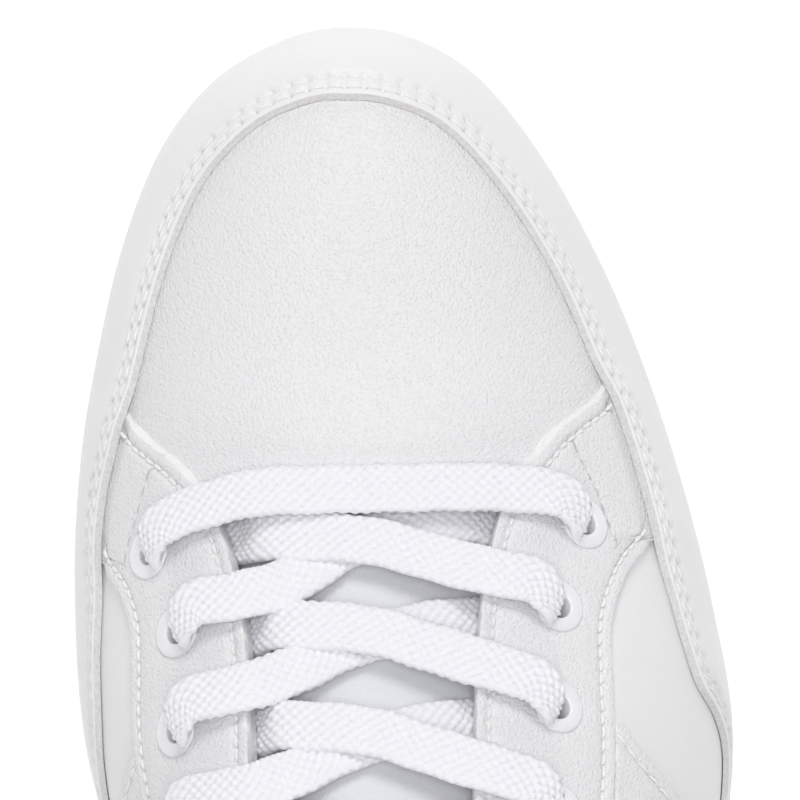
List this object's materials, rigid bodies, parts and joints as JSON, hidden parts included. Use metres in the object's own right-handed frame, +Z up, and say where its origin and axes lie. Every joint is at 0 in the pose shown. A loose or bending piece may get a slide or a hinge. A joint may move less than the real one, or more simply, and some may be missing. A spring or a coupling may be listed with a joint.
{
  "type": "cheer shoe",
  "caption": "Right-foot low lace-up cheer shoe: white stitched leather upper, padded hinged tongue, flat laces through eyelets, flat rubber sole.",
  "frame": {"origin": "centre of the shoe's outline box, on the ground under the sole", "axes": "+Y from heel to toe, +X to the outer (lateral) side of the right foot, +Z up from the ground"},
  "size_m": [0.1001, 0.272, 0.0996],
  "materials": {
    "grained_leather": "fine pebble grain, satin",
    "smooth_leather": "smooth coated, soft satin",
    "lining_textile": "knitted mesh, matte",
    "sockliner_textile": "fine textile, matte",
    "padding_foam": "open-cell foam, matte",
    "stiffener": "resin-stiffened felt, matte",
    "fibre_board": "pressed fibre, matte",
    "eva_foam": "moulded foam, satin",
    "rubber_sole": "moulded rubber, satin",
    "lace_braid": "flat tubular braid, matte",
    "eyelet_enamel": "enamelled, semi-gloss",
    "clear_tip": "heat-shrunk film, glossy"
  },
  "bodies": {
    "shoe": {"outsole": "rubber_sole", "midsole": "eva_foam", "insole_board": "fibre_board", "sockliner": "sockliner_textile", "vamp": "grained_leather", "vamp_lining": "lining_textile", "toe_puff": "stiffener", "mudguard": "smooth_leather", "eyestay_lateral": "grained_leather", "eyestay_medial": "grained_leather", "quarter_lateral": "smooth_leather", "quarter_medial": "smooth_leather", "quarter_lining_lateral": "lining_textile", "quarter_lining_medial": "lining_textile", "quarter_overlay_lateral": "grained_leather", "quarter_overlay_medial": "grained_leather", "heel_counter": "stiffener", "collar_padding": "padding_foam", "heel_lining": "lining_textile", "heel_overlay": "smooth_leather", "heel_tab": "grained_leather", "tongue_face_lower": "smooth_leather", "tongue_padding_lower": "padding_foam", "tongue_lining_lower": "lining_textile", "lace": "lace_braid", "aglet_medial": "clear_tip", "aglet_lateral": "clear_tip", "eyelet_lateral_1": "eyelet_enamel", "eyelet_lateral_2": "eyelet_enamel", "eyelet_lateral_3": "eyelet_enamel", "eyelet_lateral_4": "eyelet_enamel", "eyelet_lateral_5": "eyelet_enamel", "eyelet_lateral_6": "eyelet_enamel", "eyelet_medial_1": "eyelet_enamel", "eyelet_medial_2": "eyelet_enamel", "eyelet_medial_3": "eyelet_enamel", "eyelet_medial_4": "eyelet_enamel", "eyelet_medial_5": "eyelet_enamel", "eyelet_medial_6": "eyelet_enamel"},
    "tongue_top": {"tongue_face_upper": "smooth_leather", "tongue_padding_upper": "padding_foam", "tongue_lining_upper": "lining_textile"}
  },
  "joints": [
    {"name": "tongue_flex", "type": "hinge", "parent": "shoe", "child": "tongue_top", "pos_m": [-0.0049, -0.0156, 0.0816], "axis": [-1, 0, 0], "range_deg": [-5, 35], "stiffness_Nm_per_rad": 0.05}
  ]
}
